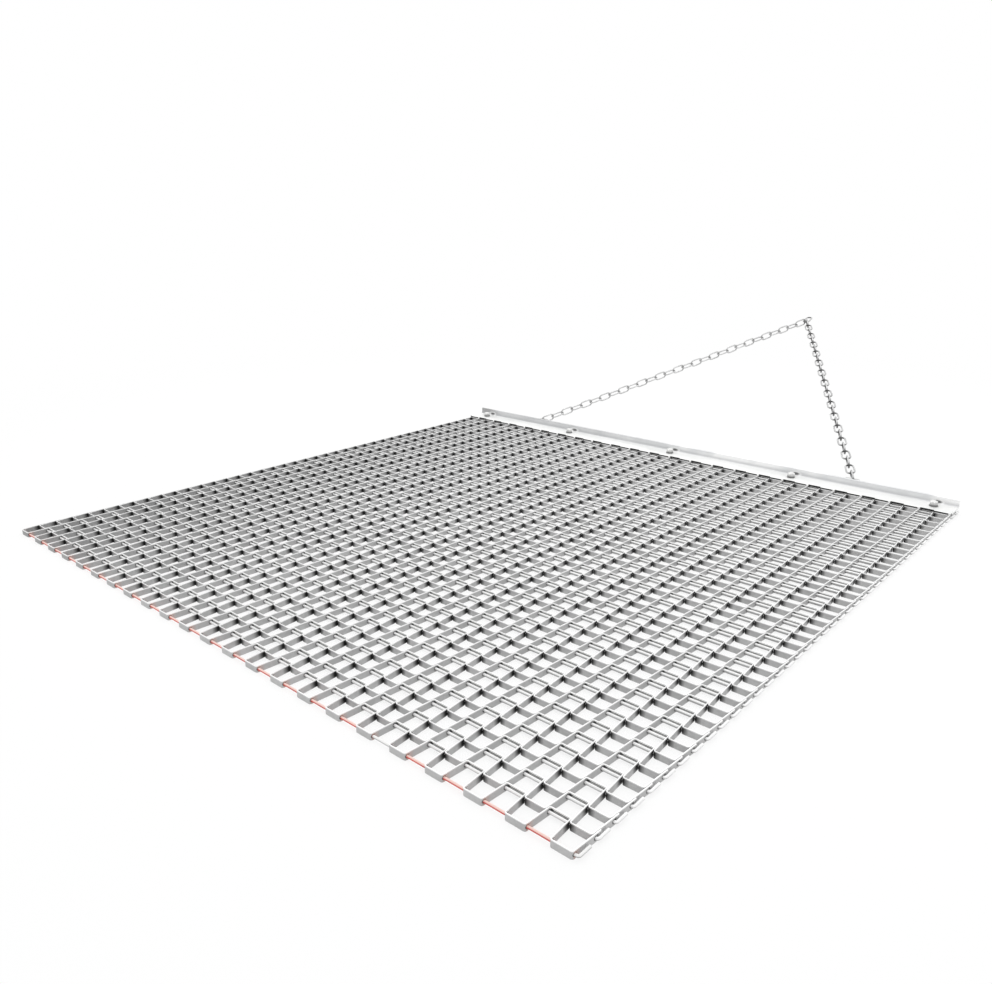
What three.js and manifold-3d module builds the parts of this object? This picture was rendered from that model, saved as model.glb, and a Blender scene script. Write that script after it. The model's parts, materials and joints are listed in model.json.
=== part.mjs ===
// Flat-wire drag harrow: a mat of interlocked steel strips on cross rods, bolted under an angle
// bar and towed by a two-legged chain bridle. Millimetres, +X across, +Y the towing direction,
// +Z up. The origin is on the ground, at the middle of the whole harrow's footprint.

import * as THREE from 'three';
import { mergeVertices } from 'three/addons/utils/BufferGeometryUtils.js';
import Module from 'manifold-3d';

const wasm = await Module();
wasm.setup();

// Mat: strips bent to and fro between two rods. A row here spans several of the woven pitches
const mat_width = 1800;
const cells_across = 11;
const woven_pitch = 43.36;
const pitches_under_bar = 2;
const pitches_per_row = 3;
const row_count = 14;

// Strip of a row: flat steel on edge
const strip_height = 13.4;
const strip_thickness = 1.8;
const leg_slant = 2;
const tail_length = 12;

// Cross rods and their clinched ends
const rod_diameter = 5;
const rod_corner = 4;
const clinch_length = 26;
const clinch_room = 2;
const rod_sides = 6;

// Lead bar: an unequal angle, long leg flat over the mat, short leg up at the front
const bar_overhang = 5;
const bar_depth = 75;
const bar_height = 26;
const bar_thickness = 5;
const bar_root_radius = 6;
const bar_reach_back = 46;

// Bolts through the bar and the jaws that pull the front rod up to it
const bolt_inset = 52;
const inner_bolt_share = 0.5094;
const bolt_diameter = 12;
const nut_across_flats = 19;
const nut_height = 10.8;
const washer_diameter = 24;
const washer_thickness = 2.5;
const bolt_end = 2;
const bolt_sides = 12;
const hole_room = 0.4;
const jaw_side = 3;
const jaw_wall = 4;
const jaw_foot = 0.4;
const jaw_top = 11;

// Staples welded to the front of the bar
const staple_inset = 300;
const staple_wire = 8;
const staple_width = 40;
const staple_reach = 24;
const staple_drop = 3.7;
const staple_corner = 9;
const weld_depth = 2;

// Bridle: long-link chain in a plane that climbs to the hitch link
const bridle_slope = THREE.MathUtils.degToRad(18.6);
const link_wire = 6;
const link_inside = 42;
const link_play = 4;
const links_per_side = 29;
const segments_per_side = 7;
const link_bite = 0.3;
const link_sides = 5;
const hitch_gap = 0.6;
const fitting_passes = 8;

// Clearance between pieces that bear on each other
const clearance = 0.3;

// Sizes that follow from the ones above
const cell_width = mat_width / cells_across;
const row_length = woven_pitch * pitches_per_row;
const front_row_length = woven_pitch * pitches_under_bar;
const front_rod_y = front_row_length + row_length * (row_count - 1);
const rod_level = strip_height / 2;
const rod_hole = rod_diameter + clearance * 2;
const wall_offset = (rod_hole + strip_thickness + clearance * 2) / 2;
const bar_bottom = strip_height + clearance;
const bar_rear_y = front_rod_y - bar_reach_back;
const bar_front_y = bar_rear_y + bar_depth;
const bar_length = mat_width + bar_overhang * 2;
const jaw_width = bolt_diameter + jaw_side * 2;
const bolt_y = front_rod_y - (rod_diameter + bolt_diameter) / 2 - clearance;
const staple_spread = mat_width - staple_inset * 2;
const staple_level = bar_bottom + bar_height - staple_drop - staple_wire / 2;
const link_inside_width = link_wire * 2 + link_play;
const link_length = link_inside + link_wire;
const link_arc = (link_inside_width + link_wire) / 2;

// Finishes
function finish(color, roughness, metalness) {
  return new THREE.MeshStandardMaterial({ color, roughness, metalness });
}

function galvanised() {
  return finish('#b6b7b6', 0.5, 0.75);
}

function barSteel() {
  return finish('#c9cac9', 0.45, 0.7);
}

function boltSteel() {
  return finish('#bcbdbc', 0.35, 0.85);
}

function chainSteel() {
  return finish('#b9bab9', 0.4, 0.85);
}

function redPaint() {
  return finish('#b1483d', 0.55, 0.1);
}

// A closed geometry as a solid that can be joined and cut
function solid(geometry) {
  const bare = geometry.index ? geometry.toNonIndexed() : geometry.clone();
  bare.deleteAttribute('normal');
  bare.deleteAttribute('uv');
  const merged = mergeVertices(bare);
  return new wasm.Manifold(
    new wasm.Mesh({
      numProp: 3,
      vertProperties: Float32Array.from(merged.attributes.position.array),
      triVerts: Uint32Array.from(merged.index.array),
    }),
  );
}

// A solid back as a geometry with flat faces
function geometryOf(body) {
  const mesh = body.getMesh();
  const shape = new THREE.BufferGeometry();
  shape.setAttribute('position', new THREE.BufferAttribute(Float32Array.from(mesh.vertProperties), 3));
  shape.setIndex(Array.from(mesh.triVerts));
  const flat = shape.toNonIndexed();
  flat.computeVertexNormals();
  return flat;
}

function named(name, geometry, material) {
  const mesh = new THREE.Mesh(geometry, material);
  mesh.name = name;
  return mesh;
}

// Round wire section with the given number of faces, a corner toward the inside of a bend
function wireSection(diameter, sides) {
  const points = [];
  for (let i = 0; i < sides; i += 1) {
    const angle = Math.PI + (Math.PI * 2 * i) / sides;
    points.push(new THREE.Vector2(Math.cos(angle), Math.sin(angle)).multiplyScalar(diameter / 2));
  }
  return points;
}

// Wire along a flat path in the XY plane, mitred at each corner. A loop has no end faces
function wireAlong(path, section, isLoop) {
  const count = path.length;
  const sides = section.length;
  const positions = [];
  for (let i = 0; i < count; i += 1) {
    const before = path[isLoop ? (i + count - 1) % count : Math.max(i - 1, 0)];
    const after = path[isLoop ? (i + 1) % count : Math.min(i + 1, count - 1)];
    const into = new THREE.Vector2().subVectors(path[i], before).normalize();
    const out = new THREE.Vector2().subVectors(after, path[i]).normalize();
    if (into.lengthSq() === 0) into.copy(out);
    if (out.lengthSq() === 0) out.copy(into);
    const middle = new THREE.Vector2().addVectors(into, out).normalize();
    const across = new THREE.Vector2(middle.y, -middle.x).divideScalar(middle.dot(out));
    for (const corner of section) {
      positions.push(path[i].x + across.x * corner.x, path[i].y + across.y * corner.x, corner.y);
    }
  }
  const faces = [];
  const spans = isLoop ? count : count - 1;
  for (let i = 0; i < spans; i += 1) {
    const here = i * sides;
    const next = ((i + 1) % count) * sides;
    for (let k = 0; k < sides; k += 1) {
      const turn = (k + 1) % sides;
      faces.push(here + k, next + k, next + turn, here + k, next + turn, here + turn);
    }
  }
  if (!isLoop) {
    const last = (count - 1) * sides;
    for (let k = 1; k < sides - 1; k += 1) {
      faces.push(0, k, k + 1);
      faces.push(last, last + k + 1, last + k);
    }
  }
  const geometry = new THREE.BufferGeometry();
  geometry.setAttribute('position', new THREE.Float32BufferAttribute(positions, 3));
  geometry.setIndex(faces);
  const flat = geometry.toNonIndexed();
  flat.computeVertexNormals();
  return flat;
}

// Flat steel on edge along a plan path, as a standing wall of one thickness
function wallAlong(path, thickness, height) {
  const sideLines = [[], []];
  path.forEach((point, i) => {
    const before = path[Math.max(i - 1, 0)];
    const after = path[Math.min(i + 1, path.length - 1)];
    const into = new THREE.Vector2().subVectors(point, before).normalize();
    const out = new THREE.Vector2().subVectors(after, point).normalize();
    if (into.lengthSq() === 0) into.copy(out);
    if (out.lengthSq() === 0) out.copy(into);
    const middle = new THREE.Vector2().addVectors(into, out).normalize();
    const across = new THREE.Vector2(-middle.y, middle.x).multiplyScalar(thickness / 2 / middle.dot(out));
    sideLines[0].push(point.clone().add(across));
    sideLines[1].unshift(point.clone().sub(across));
  });
  const outline = new THREE.Shape([...sideLines[0], ...sideLines[1]]);
  return new THREE.ExtrudeGeometry(outline, { depth: height, bevelEnabled: false });
}

// Path of a row's strip: a wall behind the rear rod in every other cell, a wall in front of the
// front rod in the cells between, and slanted legs that let the next row's bends nest inside
function stripPath(length) {
  const path = [];
  for (let i = 0; i <= cells_across; i += 1) {
    const edge = i * cell_width - mat_width / 2;
    const inward = i % 2 === 0 ? leg_slant : -leg_slant;
    const isEnd = i === 0 || i === cells_across;
    const rear = new THREE.Vector2(edge + inward, -wall_offset);
    const front = new THREE.Vector2(edge - inward, length + (isEnd ? tail_length : wall_offset));
    path.push(...(i % 2 === 0 ? [front, rear] : [rear, front]));
  }
  return path;
}

// One row: the strip with square holes for the rods at both of its edges
function meshStrip(name, length) {
  let body = solid(wallAlong(stripPath(length), strip_thickness, strip_height));
  for (const rod_y of [0, length]) {
    const hole = new THREE.BoxGeometry(mat_width + tail_length, rod_hole, rod_hole);
    hole.translate(0, rod_y, rod_level);
    body = body.subtract(solid(hole));
  }
  return named(name, geometryOf(body), galvanised());
}

// Rod across the mat, both ends bent forward outside the last legs
function crossRod(name, material) {
  const bend_x = mat_width / 2 + leg_slant + strip_thickness / 2 + clinch_room;
  const end_x = bend_x + rod_corner;
  const path = [
    new THREE.Vector2(-end_x, clinch_length),
    new THREE.Vector2(-end_x, rod_corner),
    new THREE.Vector2(-bend_x, 0),
    new THREE.Vector2(bend_x, 0),
    new THREE.Vector2(end_x, rod_corner),
    new THREE.Vector2(end_x, clinch_length),
  ];
  return named(name, wireAlong(path, wireSection(rod_diameter, rod_sides), false), material);
}

// Staple: round bar bent to a U, its legs welded into the front face of the bar
function staple(x) {
  const half = staple_width / 2;
  const root_y = bar_front_y - weld_depth;
  const tip_y = bar_front_y + staple_reach;
  const path = [
    new THREE.Vector2(x - half, root_y),
    new THREE.Vector2(x - half, tip_y - staple_corner),
    new THREE.Vector2(x - half + staple_corner, tip_y),
    new THREE.Vector2(x + half - staple_corner, tip_y),
    new THREE.Vector2(x + half, tip_y - staple_corner),
    new THREE.Vector2(x + half, root_y),
  ];
  const wire = wireAlong(path, wireSection(staple_wire, rod_sides), false);
  wire.translate(0, 0, staple_level);
  return wire;
}

// The nearest place across the bar where a jaw stands clear between two legs of the first row
function betweenLegs(x) {
  const room = leg_slant + (strip_thickness + jaw_width) / 2 + clearance;
  const left_leg = Math.floor((x + mat_width / 2) / cell_width) * cell_width - mat_width / 2;
  return THREE.MathUtils.clamp(x, left_leg + room, left_leg + cell_width - room);
}

function boltPlaces() {
  const outer = mat_width / 2 - bolt_inset;
  return [-1, -inner_bolt_share, 0, inner_bolt_share, 1].map((share) => betweenLegs(outer * share));
}

// Upright round hole or shank at a bolt's place
function boltCylinder(diameter, low, high, x) {
  const round = new THREE.CylinderGeometry(diameter / 2, diameter / 2, high - low, bolt_sides);
  round.rotateX(Math.PI / 2);
  round.translate(x, bolt_y, (low + high) / 2);
  return round;
}

// Lead bar: angle section with a rounded root, bolt holes and the two staples
function leadBar() {
  const top = bar_bottom + bar_thickness;
  const inner_y = bar_front_y - bar_thickness;
  const section = new THREE.Shape();
  section.moveTo(bar_rear_y, bar_bottom);
  section.lineTo(bar_front_y, bar_bottom);
  section.lineTo(bar_front_y, bar_bottom + bar_height);
  section.lineTo(inner_y, bar_bottom + bar_height);
  section.lineTo(inner_y, top + bar_root_radius);
  section.absarc(inner_y - bar_root_radius, top + bar_root_radius, bar_root_radius, 0, -Math.PI / 2, true);
  section.lineTo(bar_rear_y, top);
  const angle = new THREE.ExtrudeGeometry(section, { depth: bar_length, bevelEnabled: false, curveSegments: 3 });
  // The section's plane (y, z) stands across X
  angle.applyMatrix4(new THREE.Matrix4().set(0, 0, 1, -bar_length / 2, 1, 0, 0, 0, 0, 1, 0, 0, 0, 0, 0, 1));
  let body = solid(angle);
  for (const x of boltPlaces()) {
    const hole = boltCylinder(bolt_diameter + hole_room * 2, 0, bar_bottom + bar_height, x);
    body = body.subtract(solid(hole));
  }
  for (const side of [-1, 1]) {
    body = body.add(solid(staple((side * staple_spread) / 2)));
  }
  return named('lead_bar', geometryOf(body), barSteel());
}

// Clamp bolt: shank from the jaw up through the bar, with its washer and its nut drawn tight
function clampBolt(name, x) {
  const seat = bar_bottom + bar_thickness + clearance;
  const nut_foot = seat + washer_thickness;
  const nut_top = nut_foot + nut_height;
  const corner_radius = nut_across_flats / Math.sqrt(3);
  const nut = new THREE.CylinderGeometry(corner_radius, corner_radius, nut_height, 6);
  nut.rotateX(Math.PI / 2);
  nut.rotateZ(Math.PI / 6);
  nut.translate(x, bolt_y, (nut_foot + nut_top) / 2);
  const washer = boltCylinder(washer_diameter, seat, nut_foot, x);
  const shank = boltCylinder(bolt_diameter, jaw_foot, nut_top + bolt_end, x);
  return named(name, geometryOf(solid(shank).add(solid(washer)).add(solid(nut))), boltSteel());
}

// Jaw: a block threaded on the bolt, with a lip that hooks under the front rod
function clampJaw(name, x) {
  const rear_y = bolt_y - bolt_diameter / 2 - jaw_wall;
  const step_y = front_rod_y - rod_diameter / 2 - clearance;
  const lip_y = front_rod_y + wall_offset - strip_thickness / 2 - clearance * 2;
  const lip_top = rod_level - rod_diameter / 2 - clearance;
  const profile = new THREE.Shape([
    new THREE.Vector2(rear_y, jaw_foot),
    new THREE.Vector2(lip_y, jaw_foot),
    new THREE.Vector2(lip_y, lip_top),
    new THREE.Vector2(step_y, lip_top),
    new THREE.Vector2(step_y, jaw_top),
    new THREE.Vector2(rear_y, jaw_top),
  ]);
  const block = new THREE.ExtrudeGeometry(profile, { depth: jaw_width, bevelEnabled: false });
  block.applyMatrix4(new THREE.Matrix4().set(0, 0, 1, x - jaw_width / 2, 1, 0, 0, 0, 0, 1, 0, 0, 0, 0, 0, 1));
  const hole = boltCylinder(bolt_diameter + clearance * 2, 0, bar_bottom, x);
  return named(name, geometryOf(solid(block).subtract(solid(hole))), galvanised());
}

// Chain link lying flat, from its rear tip at y = 0 along +Y, its round ends eight-sided
function linkWire() {
  const path = [];
  const corner = link_arc / Math.cos(Math.PI / 8);
  const centres = [link_length - link_arc, link_arc];
  centres.forEach((centre_y, end) => {
    for (let i = 0; i < 4; i += 1) {
      const angle = Math.PI / 8 + (Math.PI / 4) * i + Math.PI * end;
      path.push(new THREE.Vector2(Math.cos(angle) * corner, centre_y + Math.sin(angle) * corner));
    }
  });
  return wireAlong(path, wireSection(link_wire, link_sides), true);
}

// Which segment a link belongs to, counted from the bar
function segmentOf(index) {
  return Math.floor((index * segments_per_side) / links_per_side);
}

// Rear tip of each link along its chain, from the first link's rear tip
function linkStarts() {
  const starts = [0];
  for (let i = 1; i < links_per_side; i += 1) {
    const isFree = segmentOf(i) !== segmentOf(i - 1);
    const overlap = link_wire + (isFree ? clearance : -link_bite);
    starts.push(starts[i - 1] + link_length - overlap);
  }
  return starts;
}

// A run of links, every other one standing on edge, bearing on each other as under load
function chainSegment(name, segment) {
  const starts = linkStarts();
  let body = null;
  starts.forEach((start, index) => {
    if (segmentOf(index) !== segment) return;
    const link = linkWire();
    if (index % 2 === 0) link.rotateY(Math.PI / 2);
    link.translate(0, start, 0);
    body = body ? body.add(solid(link)) : solid(link);
  });
  return named(name, geometryOf(body), chainSteel());
}

// Bridle: both chains and the hitch link in one sloping plane. The first link hooks behind the
// staple's wire, and because the chain pulls askew it reaches further back along its own line
function bridle() {
  const group = new THREE.Group();
  const chain_length = linkStarts()[links_per_side - 1] + link_length;
  const tip_x = (link_wire + hitch_gap) / 2;
  const spread = staple_spread / 2 - tip_x;
  const seat_back = (staple_wire + link_wire) / 2 + clearance;
  let hook_back = seat_back;
  let run = chain_length - hook_back;
  for (let pass = 0; pass < fitting_passes; pass += 1) {
    hook_back = seat_back / Math.cos(Math.asin(spread / run));
    run = chain_length - hook_back;
  }
  const climb = Math.sqrt(run * run - spread * spread);
  for (const side of [-1, 1]) {
    const leg = new THREE.Group();
    leg.position.set((side * staple_spread) / 2, 0, 0);
    leg.rotation.z = side * Math.asin(spread / run);
    for (let segment = 0; segment < segments_per_side; segment += 1) {
      const run_of_links = chainSegment(`chain_${side < 0 ? 'left' : 'right'}_${segment + 1}`, segment);
      run_of_links.position.y = -hook_back;
      leg.add(run_of_links);
    }
    group.add(leg);
  }
  const seat = (link_inside_width - link_wire) / 2 - clearance;
  const hitch = named('hitch_link', linkWire(), chainSteel());
  hitch.position.y = climb + Math.sqrt(seat * seat - tip_x * tip_x) - link_arc;
  group.add(hitch);
  group.position.set(0, bar_front_y + staple_reach, staple_level);
  group.rotation.x = bridle_slope;
  return group;
}

function twoDigits(number) {
  return String(number).padStart(2, '0');
}

// Mat: rows and rods counted from the lead bar back to the painted trailing rod
function mat() {
  const group = new THREE.Group();
  let rod_y = front_rod_y;
  for (let row = 0; row <= row_count; row += 1) {
    const isLast = row === row_count;
    const name = isLast ? 'trailing_rod' : `cross_rod_${twoDigits(row + 1)}`;
    const rod = crossRod(name, isLast ? redPaint() : galvanised());
    rod.position.set(0, rod_y, rod_level);
    group.add(rod);
    if (isLast) break;
    const length = row === 0 ? front_row_length : row_length;
    rod_y -= length;
    const strip = meshStrip(`mesh_strip_${twoDigits(row + 1)}`, length);
    strip.position.set(0, rod_y, 0);
    group.add(strip);
  }
  return group;
}

const parts = new THREE.Group();
parts.add(mat());
parts.add(leadBar());
boltPlaces().forEach((x, i) => {
  parts.add(clampBolt(`clamp_bolt_${i + 1}`, x));
  parts.add(clampJaw(`clamp_jaw_${i + 1}`, x));
});
parts.add(bridle());

// The footprint's middle goes to the origin
const box = new THREE.Box3().setFromObject(parts, true);
parts.position.y = -(box.min.y + box.max.y) / 2;

const harrow = new THREE.Group();
harrow.add(parts);

export default harrow;
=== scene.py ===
# %% [markdown]
# # A steel drag mat with its lead bar and chain bridle
# The harrow is a flexible mat of flat steel strips, woven round thin cross rods. An angle bar is
# bolted over its front edge, and two chains run from the bar to one hitch link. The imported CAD
# model fixes every size and every hinge. This script builds the real weave, the bar, the bolts and
# the chain links in the same frame, and gives them their zinc and paint.

# %% Load the frame
import json
import math

import bmesh
import bpy
from mathutils import Matrix, Vector

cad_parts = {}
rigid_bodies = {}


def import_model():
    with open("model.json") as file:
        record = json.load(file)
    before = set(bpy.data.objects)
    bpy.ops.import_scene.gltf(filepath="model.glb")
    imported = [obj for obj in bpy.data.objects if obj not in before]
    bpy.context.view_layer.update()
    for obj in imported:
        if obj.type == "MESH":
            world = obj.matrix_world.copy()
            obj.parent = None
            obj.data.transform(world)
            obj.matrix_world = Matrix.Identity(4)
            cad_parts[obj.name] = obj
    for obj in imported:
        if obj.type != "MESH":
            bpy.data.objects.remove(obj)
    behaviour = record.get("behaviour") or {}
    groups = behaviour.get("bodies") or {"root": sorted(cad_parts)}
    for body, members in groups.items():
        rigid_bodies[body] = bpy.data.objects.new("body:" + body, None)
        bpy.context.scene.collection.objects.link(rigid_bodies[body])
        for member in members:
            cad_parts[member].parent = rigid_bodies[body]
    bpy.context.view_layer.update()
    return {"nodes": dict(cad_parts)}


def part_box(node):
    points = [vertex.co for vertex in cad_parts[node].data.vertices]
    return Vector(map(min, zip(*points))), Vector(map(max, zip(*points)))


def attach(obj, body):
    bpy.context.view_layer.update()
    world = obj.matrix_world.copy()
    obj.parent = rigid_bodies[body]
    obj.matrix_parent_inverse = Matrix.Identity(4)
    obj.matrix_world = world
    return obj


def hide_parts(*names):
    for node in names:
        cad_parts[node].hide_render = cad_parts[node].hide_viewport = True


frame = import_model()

# %% [markdown]
# ## Working by hand in a script
# An operator acts on whatever is selected, so each piece starts with nothing selected, and its
# faces and edges are then picked by where they lie or which way they face. These few helpers
# stand for the clicks: pick, push a selection out, measure the result. Two places count as one
# when they are CLOSE, and a face looks along an axis when its normal has FACING of it.

# %% Helpers for picking and measuring
MM = 0.001
CLOSE = 0.1 * MM
FACING = 0.9


def begin():
    """Leaves edit mode and deselects everything, so that the next operator meets one piece only."""
    if bpy.context.object and bpy.context.object.mode == "EDIT":
        bpy.ops.object.mode_set(mode="OBJECT")
    bpy.ops.object.select_all(action="DESELECT")


def take(piece):
    """Makes one piece the only selected and active object."""
    begin()
    piece.select_set(True)
    bpy.context.view_layer.objects.active = piece


def edit(kind):
    """Enters edit mode with nothing selected, ready to pick faces, edges or points."""
    bpy.ops.object.mode_set(mode="EDIT")
    bpy.ops.mesh.select_mode(type=kind)
    bpy.ops.mesh.select_all(action="DESELECT")


def pick_faces(test):
    """Selects the faces whose middle and normal pass the test."""
    bpy.ops.mesh.select_all(action="DESELECT")
    mesh = bpy.context.object.data
    shape = bmesh.from_edit_mesh(mesh)
    chosen = [face for face in shape.faces if test(face.calc_center_median(), face.normal)]
    for face in chosen:
        face.select_set(True)
    bmesh.update_edit_mesh(mesh)


def pick_edges(test):
    """Selects the edges whose two ends pass the test."""
    bpy.ops.mesh.select_all(action="DESELECT")
    mesh = bpy.context.object.data
    shape = bmesh.from_edit_mesh(mesh)
    chosen = [edge for edge in shape.edges if test(edge.verts[0].co, edge.verts[1].co)]
    for edge in chosen:
        edge.select_set(True)
    bmesh.update_edit_mesh(mesh)


def push(x=0.0, y=0.0, z=0.0):
    """Extrudes the selection and moves it."""
    bpy.ops.mesh.extrude_region_move(TRANSFORM_OT_translate={"value": (x, y, z)})


def done(name):
    """Back to object mode, named, with its place and turn in its mesh."""
    if bpy.context.object.mode == "EDIT":
        bpy.ops.object.mode_set(mode="OBJECT")
    piece = bpy.context.object
    piece.name = name
    piece.data.name = name
    bpy.ops.object.transform_apply(location=True, rotation=True, scale=True)
    return piece


def modify(piece, kind, **settings):
    """Adds a modifier and applies it at once."""
    take(piece)
    modifier = piece.modifiers.new(kind.lower(), kind)
    for key, value in settings.items():
        setattr(modifier, key, value)
    bpy.ops.object.modifier_apply(modifier=modifier.name)


def outward(piece):
    """Merges doubles and turns every face outwards."""
    take(piece)
    bpy.ops.object.mode_set(mode="EDIT")
    bpy.ops.mesh.select_all(action="SELECT")
    bpy.ops.mesh.remove_doubles(threshold=0.01 * MM)
    bpy.ops.mesh.normals_make_consistent(inside=False)
    bpy.ops.object.mode_set(mode="OBJECT")


def smooth(piece, degrees):
    """Shades a piece smooth, and keeps edges sharper than an angle."""
    take(piece)
    bpy.ops.object.shade_smooth_by_angle(angle=math.radians(degrees))


def twin(piece, name, place):
    """A copy with a mesh of its own, moved by a matrix."""
    other = piece.copy()
    other.data = piece.data.copy()
    other.name = name
    other.data.name = name
    other.data.transform(place)
    bpy.context.collection.objects.link(other)
    return other


def drop(piece):
    """Removes a tool or a master piece that has done its work."""
    bpy.data.objects.remove(piece, do_unlink=True)


def measure(piece):
    """Prints a piece's size, its faces, and its open or doubled edges, which should be none."""
    shape = bmesh.new()
    shape.from_mesh(piece.data)
    loose = sum(1 for edge in shape.edges if len(edge.link_faces) != 2)
    size = [round(v * 1000, 1) for v in piece.dimensions]
    print(piece.name, "size in mm", size, "faces", len(shape.faces), "open edges", loose)
    shape.free()


def fit(piece, body, nodes):
    """Lets a piece ride on its body and stand for its CAD nodes, which it hides."""
    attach(piece, body)
    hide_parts(*nodes)


# %% [markdown]
# ## The camera
# The camera stands low behind the near right corner and looks forward and left across the mat, so
# the weave runs away from the eye and the bridle rises at the far side. Its place and its lens
# come from the mesh's own regular cells.

# %% Camera
CAMERA_PLACE = Vector((1.4229, -2.1867, 0.8021))
CAMERA_AZIMUTH = math.radians(41.44)
CAMERA_ELEVATION = math.radians(18.12)
LENS = 30.83
SENSOR_WIDTH = 36

view_line = Vector(
    (
        -math.sin(CAMERA_AZIMUTH) * math.cos(CAMERA_ELEVATION),
        math.cos(CAMERA_AZIMUTH) * math.cos(CAMERA_ELEVATION),
        -math.sin(CAMERA_ELEVATION),
    )
)
camera_data = bpy.data.cameras.new("camera")
camera_data.lens = LENS
camera_data.sensor_width = SENSOR_WIDTH
camera_data.sensor_fit = "HORIZONTAL"
camera = bpy.data.objects.new("camera", camera_data)
camera.location = CAMERA_PLACE
camera.rotation_euler = view_line.to_track_quat("-Z", "Y").to_euler()
bpy.context.collection.objects.link(camera)
bpy.context.scene.camera = camera
print("camera", [round(v, 3) for v in camera.location], "lens", LENS)

# %% [markdown]
# ## Sizes of the weave
# The real mat has 45 cells across and 41 strips, one behind the other, on 42 rods. The CAD model
# joins three rows in one, so each of its bodies carries three strips and three rods here, and the
# body under the bar carries two strips and three rods. Everything is counted from the trailing rod.

# %% Weave sizes
CELL = 40.0 * MM
PITCH = 43.36 * MM
CELLS_ACROSS = 45
STRIPS = 41
ROWS_PER_BODY = 3
CAD_ROWS = 14
MAT_WIDTH = CELL * CELLS_ACROSS

STRIP_HEIGHT = 13.4 * MM
STRIP_THICKNESS = 1.8 * MM
WALL_OFFSET = 4.0 * MM  # from a rod's axis to the walls beside it
LEG_SLANT = 1.65 * MM  # how far a leg leans at each of its ends
TAIL_SLANT = 2.0 * MM
TAIL = 12.0 * MM  # how far a strip's ends reach past the next rod
BEND_RADIUS = 2.6 * MM
GAP = 0.3 * MM  # between pieces that touch on the real mat

ROD_RADIUS = 2.5 * MM
ROD_HOLE_RADIUS = 2.8 * MM
ROD_LEVEL = STRIP_HEIGHT / 2

first_rod_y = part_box("trailing_rod")[0][1] + ROD_RADIUS
front_rod_y = first_rod_y + PITCH * STRIPS
print("rods from", round(first_rod_y, 4), "to", round(front_rod_y, 4))


def mat_body(index):
    """Body, CAD strip and CAD rod that stand for a woven row, counted from the trailing edge."""
    if index >= STRIPS - 2:
        return "lead_frame", "mesh_strip_01", "cross_rod_01" if index == STRIPS else "cross_rod_02"
    row = CAD_ROWS - index // ROWS_PER_BODY
    rod = "trailing_rod" if row == CAD_ROWS else f"cross_rod_{row + 1:02d}"
    return f"mat_row_{row:02d}", f"mesh_strip_{row:02d}", rod


# %% [markdown]
# ## One woven strip
# A strip is flat steel wire on edge, bent square to and fro: a short wall behind the rear rod, a
# leg forward, a wall in front of the next rod, and a leg back. It could be a curve with a profile,
# but here one standing plane is pushed out three times for two cells, arrayed across the mat, and
# only then bent round and thickened. So every bend is the same, as from the machine that makes it.
# The legs lean a little, so that at each rod the legs of two strips lie side by side with room to
# turn past each other.

# %% Strip: two cells, pushed out of one standing plane
wall = CELL - 2 * LEG_SLANT
reach = PITCH + 2 * WALL_OFFSET
left_edge = -MAT_WIDTH / 2

begin()
bpy.ops.mesh.primitive_plane_add(size=1, rotation=(math.pi / 2, 0, 0))
strip = bpy.context.object
strip.scale = (wall, STRIP_HEIGHT, 1)
strip.location = (left_edge + LEG_SLANT + wall / 2, -WALL_OFFSET, STRIP_HEIGHT / 2)
strip = done("woven_strip")

edit("EDGE")
end_x = left_edge + LEG_SLANT + wall
pick_edges(lambda a, b: min(a.x, b.x) > end_x - CLOSE)
push(2 * LEG_SLANT, reach)
push(wall)
push(2 * LEG_SLANT, -reach)
strip = done("woven_strip")
print("two cells", [round(v * 1000, 2) for v in strip.dimensions])

# %% [markdown]
# Two cells are the pattern that repeats. An array modifier copies them and merges their ends,
# which is quicker than pushing 45 cells out one by one. The last cell and the tails, which hold
# the strip on the next rod, are pushed out by hand.

# %% Strip: repeated across the mat, with its last cell and its two tails
modify(
    strip,
    "ARRAY",
    count=CELLS_ACROSS // 2,
    use_relative_offset=False,
    use_constant_offset=True,
    constant_offset_displace=(2 * CELL, 0, 0),
    use_merge_vertices=True,
    merge_threshold=0.05 * MM,
)
edit("EDGE")
right_end = left_edge + LEG_SLANT + (CELLS_ACROSS - 1) * CELL
pick_edges(lambda a, b: min(a.x, b.x) > right_end - CLOSE)
push(wall)
push(LEG_SLANT + TAIL_SLANT, PITCH + WALL_OFFSET + TAIL)
pick_edges(lambda a, b: max(a.x, b.x) < left_edge + LEG_SLANT + CLOSE)
push(-LEG_SLANT - TAIL_SLANT, PITCH + WALL_OFFSET + TAIL)
strip = done("woven_strip")
print("strip", [round(v * 1000, 2) for v in strip.dimensions])

# %% [markdown]
# Flat wire can't be bent sharp. The upright edges at the bends are bevelled while the strip is
# still a sheet, and the thickness then grows evenly to both sides of it.

# %% Strip: bends rounded and the flat given its thickness
take(strip)
edit("EDGE")
low_y = -WALL_OFFSET + CLOSE
high_y = PITCH + WALL_OFFSET - CLOSE
tail_y = PITCH + TAIL - CLOSE
half = STRIP_HEIGHT / 2
pick_edges(lambda a, b: abs(a.z - b.z) > half and (a.y < low_y or high_y < a.y < tail_y))
bpy.ops.mesh.bevel(offset=BEND_RADIUS, segments=3, profile=0.5, affect="EDGES")
strip = done("woven_strip")
modify(strip, "SOLIDIFY", thickness=STRIP_THICKNESS, offset=0, use_even_offset=True)
outward(strip)
measure(strip)

# %% [markdown]
# The rods pass through round holes punched in every leg. One long cutter for each of the two rods
# makes all 92 holes at once, before the strip is copied. Eight sides are enough for a hole that the
# rod almost fills.

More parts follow.
